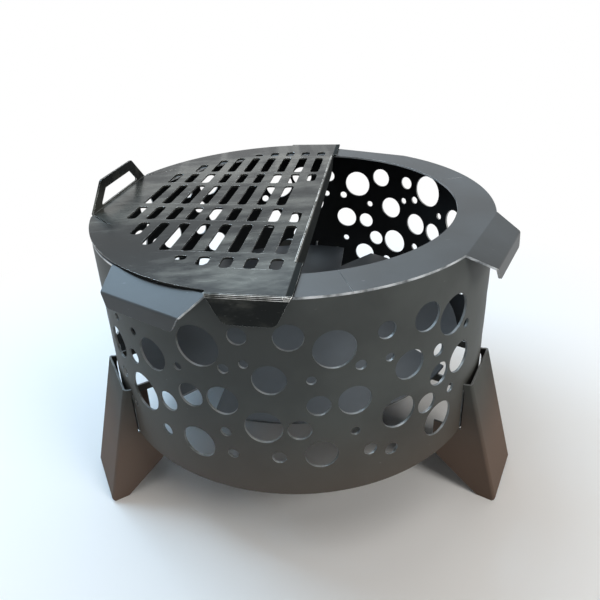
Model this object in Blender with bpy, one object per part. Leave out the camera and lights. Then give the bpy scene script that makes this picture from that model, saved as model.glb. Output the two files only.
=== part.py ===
"""A round sheet-steel fire pit: a perforated drum on three hooked legs, with a half-moon cooking grate.

Every piece is cut flat from sheet and then rolled or folded, and is modelled the same way: a blank is drawn
in millimetres, split along its fold lines, mapped to its folded place and given its thickness. The drum's
axis is vertical, azimuths are in degrees from +X, and heights are measured from the ground.
"""

import math

import bmesh
import bpy
import numpy as np
from mathutils import Vector
from mathutils.geometry import delaunay_2d_cdt

MM = 0.001

# Sheet, fits and facets
SHEET = 3.0
GAP = 0.3
BEND_RADIUS = 4.0
BEND_FACETS = 3
ARC_STEP = 4.0
SMOOTH_ANGLE = 35.0
WELD_DISTANCE = 0.01
CUT_TOLERANCE = 1e-4

# Rim
RIM_HEIGHT = 405.5
RIM_OUTER_RADIUS = 305.0
RIM_WIDTH = 52.5
RIM_SEGMENTS = 4
FIRST_TAB_AZIMUTH = -125.5

# Lifting tab at the middle of each rim segment
TAB_ROOT_WIDTH = 154.0
TAB_BEND_WIDTH = 126.0
TAB_LIP_WIDTH = 105.0
TAB_SLOPE = 26.0
TAB_LENGTH = 37.5
LIP_TURN = 56.0
LIP_LENGTH = 20.5
LIP_CORNER = 8.0

# Drum wall
WALL_INSET = 0.5
WALL_HEIGHT = 290.0
WALL_FACETS = 60
WALL_SEAM_AZIMUTH = -154.4

# Legs
LEG_COUNT = 3
FIRST_LEG_AZIMUTH = -154.4
LEG_WIDTH = 99.0
LEG_STANDOFF = 7.5
LEG_TOP_DROP = 211.0
LEG_SPLAY = 49.0
LEG_WEB_CLEARANCE = 6.5
LEG_WALL_CLEARANCE = 2.0
LEG_BEND_RADIUS = 5.0
LEG_SHOULDER_INSET = 40.5
LEG_INNER_DROP = 55.0
LEG_HEEL_INSET = 29.5
LEG_HEEL_DROP = 65.5
FOOT_SETBACK = 4.0
FOOT_LENGTH = 21.5
SLOT_HEIGHT = 80.0
SLOT_CLEARANCE = 1.0
ARM_LENGTH = 28.0
ARM_DEPTH = 8.0
NECK_INSET = 1.0
NECK_START = 2.0
NECK_END = 8.0

# Fire tray
TRAY_CLEARANCE = 33.5
TRAY_DROP = 207.0
NOTCH_COUNT = 4
FIRST_NOTCH_AZIMUTH = -124.0
NOTCH_WIDTH = 62.0
NOTCH_DEPTH = 82.0

# Cooking grate
GRATE_OVERHANG = 5.0
GRATE_AZIMUTH = 167.0
GRATE_SETBACK = 8.0
GRATE_EDGE = 54.5
HOOK_WIDTH = 99.5
HOOK_TIP_WIDTH = 60.0
HOOK_DROP = 38.0
HOOK_CORNER = 12.0
FLANGE_INSET = 6.5
FLANGE_DROP = 27.0
FLANGE_CLEARANCE = 18.0
FLANGE_TAPER = 40.0
FLANGE_TAPER_SHARES = ((0.17, 0.05), (0.63, 0.4), (1.0, 1.0))
FLANGE_RELIEF = 3.0
HANDLE_SETBACK = 19.0
HANDLE_BEND_RADIUS = 1.0
HANDLE_HEIGHT = 42.5
HANDLE_SHOULDER = 8.4
HANDLE_NARROWING = 42.5
HANDLE_CORNER = 9.0
WINDOW_LOW = 3.0
WINDOW_HIGH = 26.5
WINDOW_SIDE = 26.3
RELIEF_LENGTH = 51.0
RELIEF_SPREAD = 40.5
RELIEF_WIDTH = 1.5
RELIEF_MOUTH = 3.0

# Slot grid in the grate: the rows lie either side of the middle row, the columns run towards the handle
SLOT_WIDTH = 15.5
SLOT_CORNER = 6.0
COLUMN_PITCH = 31.0
FIRST_COLUMN = -23.5
SLOT_MARGIN = 49.5
MIDDLE_ROW = (-45.0, 45.0)
SHORT_ROW = (59.0, 110.0)
LONG_ROW = (122.0, 212.0)
END_ROW = (225.0, 254.0)
FIRST_SHORT_SLOT_START = 72.0

# Air holes of the wall: along the sheet, down from its top edge, diameter. The layout repeats round the drum.
HOLE_PERIOD = 762.0
HOLE_CLEARANCE = 3.0
HOLE_FACETS = (8, 10, 12, 14)
HOLE_SIZE_STEPS = (14.0, 24.0, 42.0)
HOLE_TURN = 0.37
RAISED_BAND = (125.0, 250.0)
RAISED_BAND_LIFT = 18.0
AIR_HOLES = (
    (38, 184, 18), (39, 132, 48), (61, 226, 12), (53, 84, 12), (94, 48, 36),
    (85, 131, 24), (98, 184, 58), (97, 87, 12), (131, 108, 48),
    (137, 229, 18), (149, 175, 30), (175, 110, 12), (189, 149, 36), (192, 225, 48),
    (208, 71, 58), (234, 146, 42), (234, 195, 14), (240, 97, 14), (241, 229, 14), (261, 49, 24),
    (266, 87, 12), (284, 180, 48), (295, 108, 42), (301, 227, 18), (320, 49, 36), (328, 183, 30),
    (344, 109, 12), (352, 147, 30), (354, 224, 42), (372, 69, 52), (396, 146, 42), (397, 194, 12),
    (403, 96, 14), (417, 229, 18), (435, 56, 24), (440, 95, 12), (447, 240, 18), (456, 183, 48),
    (469, 116, 42), (493, 57, 40), (501, 190, 30), (516, 114, 18), (521, 153, 34), (526, 229, 52),
    (543, 74, 56), (548, 190, 14), (565, 149, 46), (575, 102, 14), (688, 116, 36), (694, 180, 42),
    (698, 50, 42), (704, 241, 14), (724, 92, 24), (728, 140, 24), (726, 220, 36), (742, 182, 14),
    (748, 56, 18),
)

# Paint and bare steel: base colour, roughness and metallic value
PAINT = ((0.075, 0.079, 0.085), 0.42, 0.35)
TRAY_PAINT = ((0.060, 0.062, 0.066), 0.50, 0.35)
GRATE_STEEL = ((0.150, 0.152, 0.150), 0.34, 0.85)

# Levels and radii that follow from the sizes above
RIM_INNER_RADIUS = RIM_OUTER_RADIUS - RIM_WIDTH
TAB_CREASE = math.sqrt(RIM_OUTER_RADIUS ** 2 - (TAB_ROOT_WIDTH / 2.0) ** 2)
WALL_TOP = RIM_HEIGHT - SHEET - GAP
WALL_BOTTOM = WALL_TOP - WALL_HEIGHT
WALL_OUTER_RADIUS = RIM_OUTER_RADIUS - WALL_INSET
WALL_LENGTH = 2.0 * math.pi * WALL_OUTER_RADIUS
WALL_INNER_RADIUS = WALL_OUTER_RADIUS - SHEET
SLOT_TOP = WALL_BOTTOM + SLOT_HEIGHT
LEG_TOP_RADIUS = WALL_OUTER_RADIUS + LEG_STANDOFF
LEG_FOOT_RADIUS = LEG_TOP_RADIUS + LEG_SPLAY
LEG_SHOULDER_RADIUS = WALL_OUTER_RADIUS - LEG_SHOULDER_INSET
LEG_HEEL_RADIUS = WALL_OUTER_RADIUS - LEG_HEEL_INSET
FOOT_OUTER_RADIUS = LEG_FOOT_RADIUS - FOOT_SETBACK
FOOT_INNER_RADIUS = FOOT_OUTER_RADIUS - FOOT_LENGTH
TRAY_RADIUS = WALL_INNER_RADIUS - TRAY_CLEARANCE
ARM_INNER_RADIUS = TRAY_RADIUS - ARM_LENGTH
TRAY_TOP = RIM_HEIGHT - TRAY_DROP
TRAY_UNDERSIDE = TRAY_TOP - SHEET
GRATE_TOP = RIM_HEIGHT + GAP + SHEET
HOOK_REACH = RIM_OUTER_RADIUS + GRATE_SETBACK + 2.0 * GAP
GRATE_RADIUS = RIM_OUTER_RADIUS + GRATE_OVERHANG
HANDLE_FOLD = GRATE_RADIUS - HANDLE_SETBACK
HANDLE_ROOT_WIDTH = 2.0 * (math.sqrt(GRATE_RADIUS ** 2 - HANDLE_FOLD ** 2) - HANDLE_SHOULDER)
HANDLE_TOP_WIDTH = HANDLE_ROOT_WIDTH - 2.0 * HANDLE_NARROWING
FLANGE_FACE = GRATE_EDGE - FLANGE_INSET
FLANGE_HALF = math.sqrt(RIM_INNER_RADIUS ** 2 - FLANGE_FACE ** 2) - FLANGE_CLEARANCE


def polar(radius, azimuth):
    """Returns the plan position at a radius and an azimuth in degrees."""
    angle = math.radians(azimuth)
    return radius * math.cos(angle), radius * math.sin(angle)


def arc(radius, start, end):
    """Returns the points of an arc between two azimuths, a facet to each few degrees."""
    count = max(1, round(abs(end - start) / ARC_STEP))
    return [polar(radius, start + (end - start) * index / count) for index in range(count + 1)]


def disc(centre, diameter):
    """Returns a round hole, with more sides the larger it is."""
    sides = HOLE_FACETS[sum(diameter > size for size in HOLE_SIZE_STEPS)]
    step = 360.0 / sides
    return [(centre[0] + x, centre[1] + y)
            for x, y in (polar(diameter / 2.0, step * (index + HOLE_TURN)) for index in range(sides))]


def rounded(points, radius, facets=2):
    """Rounds each corner of a closed outline with the given radius, or with one radius a corner."""
    radii = radius if isinstance(radius, (list, tuple)) else [radius] * len(points)
    outline = []
    for index, corner in enumerate(points):
        here = Vector(corner)
        before = (Vector(points[index - 1]) - here).normalized()
        after = (Vector(points[(index + 1) % len(points)]) - here).normalized()
        if radii[index] <= 0.0:
            outline.append(tuple(here))
            continue
        half = 0.5 * before.angle(after)
        centre = here + (before + after).normalized() * (radii[index] / math.sin(half))
        reach = radii[index] / math.tan(half)
        first = here + before * reach - centre
        turn = here + after * reach - centre
        sweep = math.atan2(first.cross(turn), first.dot(turn))
        for step in range(facets + 1):
            angle = sweep * step / facets
            outline.append((centre.x + first.x * math.cos(angle) - first.y * math.sin(angle),
                            centre.y + first.x * math.sin(angle) + first.y * math.cos(angle)))
    return outline


def mirrored(points):
    """Returns half an outline followed by its mirror image across the X axis."""
    return points + [(x, -y) for x, y in reversed(points)]


def bend_length(radius, degrees):
    """Returns the length of sheet that a bend takes on its outer face."""
    return radius * math.radians(abs(degrees))


def bent(distance, bends):
    """Follows a strip that takes each bend in turn, and returns how far it reaches and how high.

    Each bend is its start along the flat blank, its turn in degrees (up is positive) and its radius.
    """
    reach, rise, heading, done = 0.0, 0.0, 0.0, 0.0
    for start, turn, radius in bends:
        if distance <= start:
            break
        reach += (start - done) * math.cos(heading)
        rise += (start - done) * math.sin(heading)
        used = min(distance - start, bend_length(radius, turn))
        swing = math.copysign(used / radius, turn)
        side = math.copysign(radius, turn)
        reach += side * (math.sin(heading + swing) - math.sin(heading))
        rise += side * (math.cos(heading) - math.cos(heading + swing))
        heading += swing
        done = start + used
    reach += (distance - done) * math.cos(heading)
    rise += (distance - done) * math.sin(heading)
    return reach, rise


def bend_lines(bends):
    """Returns the distances along a blank at which its folded facets meet."""
    places = []
    for start, turn, radius in bends:
        for step in range(BEND_FACETS + 1):
            places.append(start + bend_length(radius, turn) * step / BEND_FACETS)
    return places


def inside(loops, points):
    """Tells for each point whether it lies on the blank: inside the outline and outside its holes."""
    odd = np.zeros(len(points), dtype=bool)
    x, y = points[:, 0], points[:, 1]
    for loop in loops:
        for (x0, y0), (x1, y1) in zip(loop, loop[1:] + loop[:1]):
            if y0 == y1:
                continue
            crosses = (y0 > y) != (y1 > y)
            odd ^= crosses & (x < x0 + (y - y0) * (x1 - x0) / (y1 - y0))
    return odd


def blank(loops, lines):
    """Splits a flat blank into triangles along its outlines and fold lines."""
    points, edges = [], []
    for loop in loops:
        base = len(points)
        points += [Vector(point) for point in loop]
        edges += [(base + index, base + (index + 1) % len(loop)) for index in range(len(loop))]
    for line in lines:
        edges.append((len(points), len(points) + 1))
        points += [Vector(point) for point in line]
    corners, _, triangles, _, _, _ = delaunay_2d_cdt(points, edges, [], 0, CUT_TOLERANCE)
    flat = np.array([tuple(corner) for corner in corners])
    triangles = np.array(triangles)
    kept = triangles[inside(loops, flat[triangles].mean(axis=1))]
    return flat, kept


def sheet(name, loops, lines, place, finish, seam=False):
    """Makes one folded sheet: place maps a point of the blank to the face that the sheet lies behind."""
    flat, triangles = blank(loops, lines)
    body = bmesh.new()
    corners = {}
    for index in sorted(set(triangles.ravel().tolist())):
        corners[index] = body.verts.new(Vector(place(*flat[index])) * MM)
    for a, b, c in triangles.tolist():
        (ax, ay), (bx, by), (cx, cy) = flat[a], flat[b], flat[c]
        if (bx - ax) * (cy - ay) < (by - ay) * (cx - ax):
            b, c = c, b
        body.faces.new((corners[a], corners[b], corners[c]))
    if seam:
        bmesh.ops.remove_doubles(body, verts=body.verts, dist=WELD_DISTANCE * MM)
    mesh = bpy.data.meshes.new(name)
    body.to_mesh(mesh)
    body.free()
    piece = bpy.data.objects.new(name, mesh)
    bpy.context.scene.collection.objects.link(piece)
    thickness = piece.modifiers.new("sheet_thickness", "SOLIDIFY")
    thickness.thickness = SHEET * MM
    thickness.offset = -1.0
    thickness.use_even_offset = True
    mesh.materials.append(material(name, finish))
    mesh.shade_smooth()
    mesh.set_sharp_from_angle(angle=math.radians(SMOOTH_ANGLE))
    return piece


def material(name, finish):
    """Makes a plain Principled material from a colour, a roughness and a metallic value."""
    colour, roughness, metallic = finish
    made = bpy.data.materials.new(name)
    made.use_nodes = True
    shader = made.node_tree.nodes["Principled BSDF"]
    shader.inputs["Base Color"].default_value = (*colour, 1.0)
    shader.inputs["Roughness"].default_value = roughness
    shader.inputs["Metallic"].default_value = metallic
    return made


def stand(piece, root, azimuth=0.0, place=(0.0, 0.0), height=0.0):
    """Places a piece under the root, turned about the vertical."""
    piece.parent = root
    piece.location = (place[0] * MM, place[1] * MM, height * MM)
    piece.rotation_euler = (0.0, 0.0, math.radians(azimuth))


def rim_segment(index, root):
    """Makes a quarter of the rim, whose lifting tab slopes down and ends in a lip."""
    half_turn = 180.0 / RIM_SEGMENTS
    root_half = TAB_ROOT_WIDTH / 2.0
    bends = ((TAB_CREASE, -TAB_SLOPE, BEND_RADIUS), (TAB_CREASE + TAB_LENGTH, -LIP_TURN, BEND_RADIUS))
    lip_start = TAB_CREASE + TAB_LENGTH + bend_length(BEND_RADIUS, LIP_TURN)
    lip_end = lip_start + LIP_LENGTH - BEND_RADIUS
    outer_end = half_turn - math.degrees(GAP / 2.0 / RIM_OUTER_RADIUS)
    inner_end = half_turn - math.degrees(GAP / 2.0 / RIM_INNER_RADIUS)
    tab_edge = math.degrees(math.asin(root_half / RIM_OUTER_RADIUS))
    outline = arc(RIM_INNER_RADIUS, inner_end, -inner_end)
    outline += arc(RIM_OUTER_RADIUS, -outer_end, -tab_edge)
    tab = rounded([(TAB_CREASE, -root_half), (TAB_CREASE + TAB_LENGTH, -TAB_BEND_WIDTH / 2.0),
                   (lip_end, -TAB_LIP_WIDTH / 2.0), (lip_end, TAB_LIP_WIDTH / 2.0),
                   (TAB_CREASE + TAB_LENGTH, TAB_BEND_WIDTH / 2.0), (TAB_CREASE, root_half)],
                  [0.0, 0.0, LIP_CORNER, LIP_CORNER, 0.0, 0.0])
    outline += tab[1:-1]
    outline += arc(RIM_OUTER_RADIUS, tab_edge, outer_end)
    lines = [((x, -TAB_ROOT_WIDTH), (x, TAB_ROOT_WIDTH)) for x in bend_lines(bends)]
    lines[0] = ((TAB_CREASE, -root_half), (TAB_CREASE, root_half))

    def place(x, y):
        reach, rise = bent(x, bends)
        return (reach, y, rise) if x > TAB_CREASE and abs(y) < root_half else (x, y, 0.0)

    piece = sheet(f"rim_segment_{index + 1}", [outline], lines, place, PAINT)
    stand(piece, root, FIRST_TAB_AZIMUTH + index * 360.0 / RIM_SEGMENTS, height=RIM_HEIGHT)
    return piece


def slot_places():
    """Returns where the legs' slots are centred along the unrolled wall."""
    places = []
    middle = LEG_WIDTH / 2.0 - SHEET / 2.0
    swing = math.asin(middle / (WALL_OUTER_RADIUS - SHEET / 2.0))
    for index in range(LEG_COUNT):
        azimuth = FIRST_LEG_AZIMUTH - WALL_SEAM_AZIMUTH + index * 360.0 / LEG_COUNT
        for side in (-1.0, 1.0):
            angle = (math.radians(azimuth) + side * swing) % (2.0 * math.pi)
            places.append(angle * WALL_OUTER_RADIUS)
    return sorted(places)


def slot_width():
    """Returns the width of a slot that a leg's side passes through at a slant."""
    slant = math.asin(LEG_WIDTH / 2.0 / WALL_OUTER_RADIUS)
    return SHEET / math.cos(slant) + SHEET * math.tan(slant) + SLOT_CLEARANCE


def air_holes():
    """Lays the pattern of holes along the wall and leaves out what would meet a slot or the seam."""
    holes = []
    slots = slot_places()
    runs = math.ceil(WALL_LENGTH / HOLE_PERIOD)
    for run in range(runs):
        for along, down, diameter in AIR_HOLES:
            lifted = run == 1 and RAISED_BAND[0] <= along <= RAISED_BAND[1]
            x = run * HOLE_PERIOD + along
            y = WALL_HEIGHT - down + (RAISED_BAND_LIFT if lifted else 0.0)
            reach = diameter / 2.0 + HOLE_CLEARANCE
            above_slot = max(0.0, y - SLOT_HEIGHT)
            apart = reach + slot_width() / 2.0
            near_slot = any(math.hypot(x - slot, above_slot) < apart for slot in slots)
            off_sheet = x - reach < 0.0 or x + reach > WALL_LENGTH
            off_sheet = off_sheet or y - reach < 0.0 or y + reach > WALL_HEIGHT
            if not near_slot and not off_sheet:
                holes.append(disc((x, y), diameter))
    return holes


def tab_dip(azimuth):
    """Returns how far the wall's top edge drops to stay under the sloping tab, if one is there."""
    spacing = 360.0 / RIM_SEGMENTS
    beside = (azimuth - FIRST_TAB_AZIMUTH + spacing / 2.0) % spacing - spacing / 2.0
    slope = math.radians(TAB_SLOPE)
    beyond = WALL_OUTER_RADIUS * math.cos(math.radians(beside)) - TAB_CREASE
    return max(0.0, beyond * math.tan(slope) + SHEET * (1.0 / math.cos(slope) - 1.0))


def drum_wall(root):
    """Makes the rolled wall with its air holes and the slots, open at the bottom, that take the legs."""
    half = slot_width() / 2.0
    facet = WALL_LENGTH / WALL_FACETS
    outline = []
    for index in range(WALL_FACETS, -1, -1):
        azimuth = WALL_SEAM_AZIMUTH + 360.0 * index / WALL_FACETS
        outline.append((index * facet, WALL_HEIGHT - tab_dip(azimuth)))
    outline.append((0.0, 0.0))
    for slot in slot_places():
        outline += [(slot - half, 0.0), (slot - half, SLOT_HEIGHT)]
        outline += [(slot + half, SLOT_HEIGHT), (slot + half, 0.0)]
    outline.append((WALL_LENGTH, 0.0))
    lines = [((index * facet, -1.0), (index * facet, WALL_HEIGHT + 1.0)) for index in range(1, WALL_FACETS)]

    def place(x, y):
        step = min(int(x / facet + 1e-6), WALL_FACETS - 1)
        share = x / facet - step
        ax, ay = polar(WALL_OUTER_RADIUS, 360.0 * step / WALL_FACETS)
        bx, by = polar(WALL_OUTER_RADIUS, 360.0 * (step + 1) / WALL_FACETS)
        return ax + (bx - ax) * share, ay + (by - ay) * share, y

    piece = sheet("drum_wall", [outline] + air_holes(), lines, place, PAINT, seam=True)
    stand(piece, root, WALL_SEAM_AZIMUTH, height=WALL_BOTTOM)
    return piece


def leg_side():
    """Returns the outline of a leg's side as radius and height, from the web's top round to its bottom."""
    half = LEG_WIDTH / 2.0
    wall_face = math.sqrt(WALL_OUTER_RADIUS ** 2 - (half - SHEET) ** 2) + LEG_WALL_CLEARANCE
    inner_face = math.sqrt(WALL_INNER_RADIUS ** 2 - half ** 2) - LEG_WALL_CLEARANCE
    tongue = SLOT_TOP - GAP
    seat = TRAY_UNDERSIDE - GAP
    return [
        (wall_face, tongue), (inner_face, tongue), (inner_face, seat), (ARM_INNER_RADIUS, seat),
        (ARM_INNER_RADIUS, tongue - ARM_DEPTH), (inner_face, tongue - ARM_DEPTH),
        (wall_face - NECK_INSET, tongue - ARM_DEPTH - NECK_START), (wall_face, tongue - ARM_DEPTH - NECK_END),
        (wall_face, WALL_BOTTOM - GAP), (LEG_SHOULDER_RADIUS, WALL_BOTTOM - GAP),
        (LEG_SHOULDER_RADIUS, WALL_BOTTOM - LEG_INNER_DROP), (LEG_HEEL_RADIUS, WALL_BOTTOM - LEG_HEEL_DROP),
        (FOOT_INNER_RADIUS, 0.0), (FOOT_OUTER_RADIUS, 0.0),
    ]


def leg(index, root):
    """Makes a leg: a splayed outer web whose two sides fold in, pass the wall's slots and carry the tray."""
    top = Vector((LEG_TOP_RADIUS, RIM_HEIGHT - LEG_TOP_DROP))
    bottom = Vector((LEG_FOOT_RADIUS, LEG_WEB_CLEARANCE))
    down = (bottom - top).normalized()
    inward = Vector((down.y, -down.x))
    fold = LEG_WIDTH / 2.0 - LEG_BEND_RADIUS
    side_start = fold + bend_length(LEG_BEND_RADIUS, 90.0) - LEG_BEND_RADIUS
    bends = ((fold, -90.0, LEG_BEND_RADIUS),)
    length = (bottom - top).length
    half_outline = [(fold, 0.0)]
    for radius, height in leg_side():
        offset = Vector((radius, height)) - top
        half_outline.append((side_start + offset.dot(inward), -offset.dot(down)))
    half_outline.append((fold, -length))
    outline = half_outline + [(-x, y) for x, y in reversed(half_outline)]
    reach = 2.0 * length
    lines = []
    for x in bend_lines(bends):
        lines += [((x, -reach), (x, reach)), ((-x, -reach), (-x, reach))]

    def place(x, y):
        across, depth = bent(abs(x), bends)
        point = top - down * y - inward * depth
        return point.x - LEG_TOP_RADIUS, math.copysign(across, x), point.y

    piece = sheet(f"leg_{index + 1}", [outline], lines, place, PAINT)
    azimuth = FIRST_LEG_AZIMUTH + index * 360.0 / LEG_COUNT
    stand(piece, root, azimuth, polar(LEG_TOP_RADIUS, azimuth))
    return piece


def fire_tray(root):
    """Makes the loose round tray that carries the fire, with a V-shaped air notch in each quarter."""
    half = math.degrees(math.asin(NOTCH_WIDTH / 2.0 / TRAY_RADIUS))
    outline = []
    for index in range(NOTCH_COUNT):
        azimuth = index * 360.0 / NOTCH_COUNT
        outline.append(polar(TRAY_RADIUS - NOTCH_DEPTH, azimuth))
        outline += arc(TRAY_RADIUS, azimuth + half, azimuth + 360.0 / NOTCH_COUNT - half)
    piece = sheet("fire_tray", [outline], [], lambda x, y: (x, y, 0.0), TRAY_PAINT)
    stand(piece, root, FIRST_NOTCH_AZIMUTH, height=TRAY_TOP)
    return piece


def grate_slots():
    """Returns the grate's cooking slots. The middle row's first slot stays bare plate."""
    slots = []
    limit = GRATE_RADIUS - SLOT_MARGIN
    first_west = FIRST_COLUMN - SLOT_WIDTH / 2.0
    for column in range(math.ceil((limit - first_west) / COLUMN_PITCH)):
        west = first_west + column * COLUMN_PITCH
        east = west + SLOT_WIDTH
        if east >= limit:
            continue
        edge = math.sqrt(limit ** 2 - east ** 2)
        spans = [MIDDLE_ROW] if column > 0 else []
        short_start = SHORT_ROW[0] if column > 0 else FIRST_SHORT_SLOT_START
        for start, end in ((short_start, SHORT_ROW[1]), LONG_ROW, END_ROW):
            end = min(end, edge)
            if end - start >= SLOT_WIDTH / 2.0:
                spans += [(start, end), (-end, -start)]
        for low, high in spans:
            corner = min(SLOT_CORNER, 0.4 * (high - low))
            slots.append(rounded([(west, low), (east, low), (east, high), (west, high)], corner))
    return slots


def handle_outline():
    """Returns half of the flap that folds up into the handle, and the whole of the window in it."""
    height_start = HANDLE_FOLD + bend_length(HANDLE_BEND_RADIUS, 90.0) - HANDLE_BEND_RADIUS
    top = height_start + HANDLE_HEIGHT
    corner = rounded([(HANDLE_FOLD, HANDLE_ROOT_WIDTH / 2.0), (top, HANDLE_TOP_WIDTH / 2.0), (top, 0.0)],
                     [0.0, HANDLE_CORNER, 0.0])
    low_half, high_half = (HANDLE_ROOT_WIDTH / 2.0 - HANDLE_NARROWING * height / HANDLE_HEIGHT - WINDOW_SIDE
                           for height in (WINDOW_LOW, WINDOW_HIGH))
    window = rounded([(height_start + WINDOW_LOW, -low_half), (height_start + WINDOW_HIGH, -high_half),
                      (height_start + WINDOW_HIGH, high_half), (height_start + WINDOW_LOW, low_half)], SHEET)
    return corner[:-1], window


def cooking_grate(root):
    """Makes the half-moon grate: two hooks over the rim, a stiffening flange and a handle from one sheet."""
    hook_fold = HOOK_REACH + SHEET - BEND_RADIUS
    hook_bends = ((hook_fold, -90.0, BEND_RADIUS),)
    hook_end = hook_fold + bend_length(BEND_RADIUS, 90.0) + HOOK_DROP - BEND_RADIUS
    flange_fold = FLANGE_FACE - BEND_RADIUS
    flange_bends = ((flange_fold, -90.0, BEND_RADIUS),)
    flange_start = flange_fold + bend_length(BEND_RADIUS, 90.0)
    flange_depth = FLANGE_DROP - BEND_RADIUS
    handle_bends = ((HANDLE_FOLD, 90.0, HANDLE_BEND_RADIUS),)
    hook_outer = HOOK_WIDTH - GRATE_EDGE
    hook_middle = hook_outer - HOOK_WIDTH / 2.0
    tip_half = HOOK_TIP_WIDTH / 2.0
    edge_angle = math.degrees(math.asin(hook_outer / GRATE_RADIUS))
    chord_angle = math.degrees(math.acos(HANDLE_FOLD / GRATE_RADIUS))
    handle, window = handle_outline()
    root_half = HANDLE_ROOT_WIDTH / 2.0
    tip = (HANDLE_FOLD - RELIEF_LENGTH, root_half + RELIEF_SPREAD)
    hook = rounded([(hook_outer, hook_fold), (hook_middle + tip_half, hook_end),
                    (hook_middle - tip_half, hook_end), (-GRATE_EDGE, hook_fold)],
                   [0.0, HOOK_CORNER, HOOK_CORNER, 0.0])
    half_outline = handle[::-1]
    half_outline += [(tip[0], tip[1] - RELIEF_WIDTH / 2.0), (tip[0], tip[1] + RELIEF_WIDTH / 2.0)]
    half_outline.append((HANDLE_FOLD, root_half + RELIEF_MOUTH))
    half_outline += arc(GRATE_RADIUS, chord_angle, 90.0 - edge_angle)
    half_outline += hook
    half_outline += [(-GRATE_EDGE, FLANGE_HALF + FLANGE_RELIEF), (-flange_fold, FLANGE_HALF + FLANGE_RELIEF),
                     (-flange_fold, FLANGE_HALF)]
    for down, narrower in FLANGE_TAPER_SHARES:
        half_outline.append((-flange_start - down * flange_depth, FLANGE_HALF - narrower * FLANGE_TAPER))
    outline = mirrored(half_outline)
    lines = []
    for side in (-1.0, 1.0):
        for y in bend_lines(hook_bends):
            lines.append(((-2.0 * GRATE_EDGE, side * y), (2.0 * GRATE_EDGE, side * y)))
    relief_middle = FLANGE_HALF + FLANGE_RELIEF / 2.0
    for x in bend_lines(flange_bends):
        lines.append(((-x, -relief_middle), (-x, relief_middle)))
    for x in bend_lines(handle_bends):
        lines.append(((x, -GRATE_RADIUS / 2.0), (x, GRATE_RADIUS / 2.0)))

    def place(x, y):
        if x > HANDLE_FOLD:
            reach, rise = bent(x, handle_bends)
            return reach, y, rise
        if abs(y) > hook_fold:
            reach, rise = bent(abs(y), hook_bends)
            return x, math.copysign(reach, y), rise
        if -x > flange_fold and abs(y) < relief_middle:
            reach, rise = bent(-x, flange_bends)
            return -reach, y, rise
        return x, y, 0.0

    piece = sheet("cooking_grate", [outline, window] + grate_slots(), lines, place, GRATE_STEEL)
    behind = polar(GRATE_SETBACK, GRATE_AZIMUTH - 90.0)
    stand(piece, root, GRATE_AZIMUTH, behind, GRATE_TOP)
    return piece


def centre_on_ground(root, pieces):
    """Moves the root so that the origin lies under the middle of the whole object, on the ground."""
    bpy.context.view_layer.update()
    graph = bpy.context.evaluated_depsgraph_get()
    corners = []
    for piece in pieces:
        evaluated = piece.evaluated_get(graph)
        mesh = evaluated.to_mesh()
        corners += [evaluated.matrix_world @ vertex.co for vertex in mesh.vertices]
        evaluated.to_mesh_clear()
    places = np.array([tuple(corner) for corner in corners])
    low, high = places.min(axis=0), places.max(axis=0)
    root.location = (-(low[0] + high[0]) / 2.0, -(low[1] + high[1]) / 2.0, -low[2])


def clear_scene():
    """Removes whatever the file holds."""
    for old in list(bpy.data.objects):
        bpy.data.objects.remove(old, do_unlink=True)


def build():
    """Builds the whole fire pit."""
    clear_scene()
    root = bpy.data.objects.new("fire_pit", None)
    bpy.context.scene.collection.objects.link(root)
    pieces = [drum_wall(root)]
    pieces += [rim_segment(index, root) for index in range(RIM_SEGMENTS)]
    pieces += [leg(index, root) for index in range(LEG_COUNT)]
    pieces += [fire_tray(root), cooking_grate(root)]
    centre_on_ground(root, pieces)


build()
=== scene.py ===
"""Looks of a round sheet-steel fire pit with a half-moon cooking grate.

Each sheet is cut as a flat blank in millimetres, given its thickness and its softened edges, split along
its fold lines and formed to its place. Azimuths are in degrees from +X and heights from the ground.
"""

from __future__ import annotations

import logging
from contextlib import contextmanager
from dataclasses import dataclass
from enum import Enum
from functools import cached_property
from math import acos, asin, atan2, ceil, copysign, cos, degrees, hypot, pi, radians, sin, sqrt, tan
from typing import Callable, Iterator, Sequence

import bpy
from mathutils import Matrix, Vector


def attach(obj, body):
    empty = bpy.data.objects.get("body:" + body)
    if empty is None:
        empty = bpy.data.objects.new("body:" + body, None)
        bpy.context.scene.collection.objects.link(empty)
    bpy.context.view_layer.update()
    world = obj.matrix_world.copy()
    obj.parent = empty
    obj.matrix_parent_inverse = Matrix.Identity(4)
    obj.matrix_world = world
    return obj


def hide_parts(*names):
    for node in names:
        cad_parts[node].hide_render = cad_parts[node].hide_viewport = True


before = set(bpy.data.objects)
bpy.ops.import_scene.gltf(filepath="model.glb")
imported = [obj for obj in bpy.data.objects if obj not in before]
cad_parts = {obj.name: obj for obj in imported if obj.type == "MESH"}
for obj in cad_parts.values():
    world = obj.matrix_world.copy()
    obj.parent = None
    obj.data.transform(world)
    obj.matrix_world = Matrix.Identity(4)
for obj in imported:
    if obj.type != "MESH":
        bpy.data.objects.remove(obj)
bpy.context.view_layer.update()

LOG = logging.getLogger("fire_pit")

# Measures that several pieces share, in millimetres and degrees

SHEET = 3.0
GAP = 0.3
AXIS = (10.72, -25.55)
RIM_HEIGHT = 405.5
RIM_OUTER = 305.0
RIM_INNER = 252.5
WALL_RADIUS = 304.5
WALL_BOTTOM = 112.2
LEG_WIDTH = 99.0
FIRST_TAB = -125.5
FIRST_LEG = -154.4
GRATE_AZIMUTH = 167.0
QUARTER = 90.0
THIRD = 120.0

# Settings of the modelling tools, in millimetres where they are lengths

MM = 0.001
NEAR = 0.01
MERGE = 0.001
# Width of the bright strips on folds, partly wear and partly painted highlight.
FOLD_WEAR_AND_HIGHLIGHT = 0.22
CORNER_FACETS = 6
SHARP = radians(30.0)

WHITE = (1.0, 1.0, 1.0, 1.0)

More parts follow.
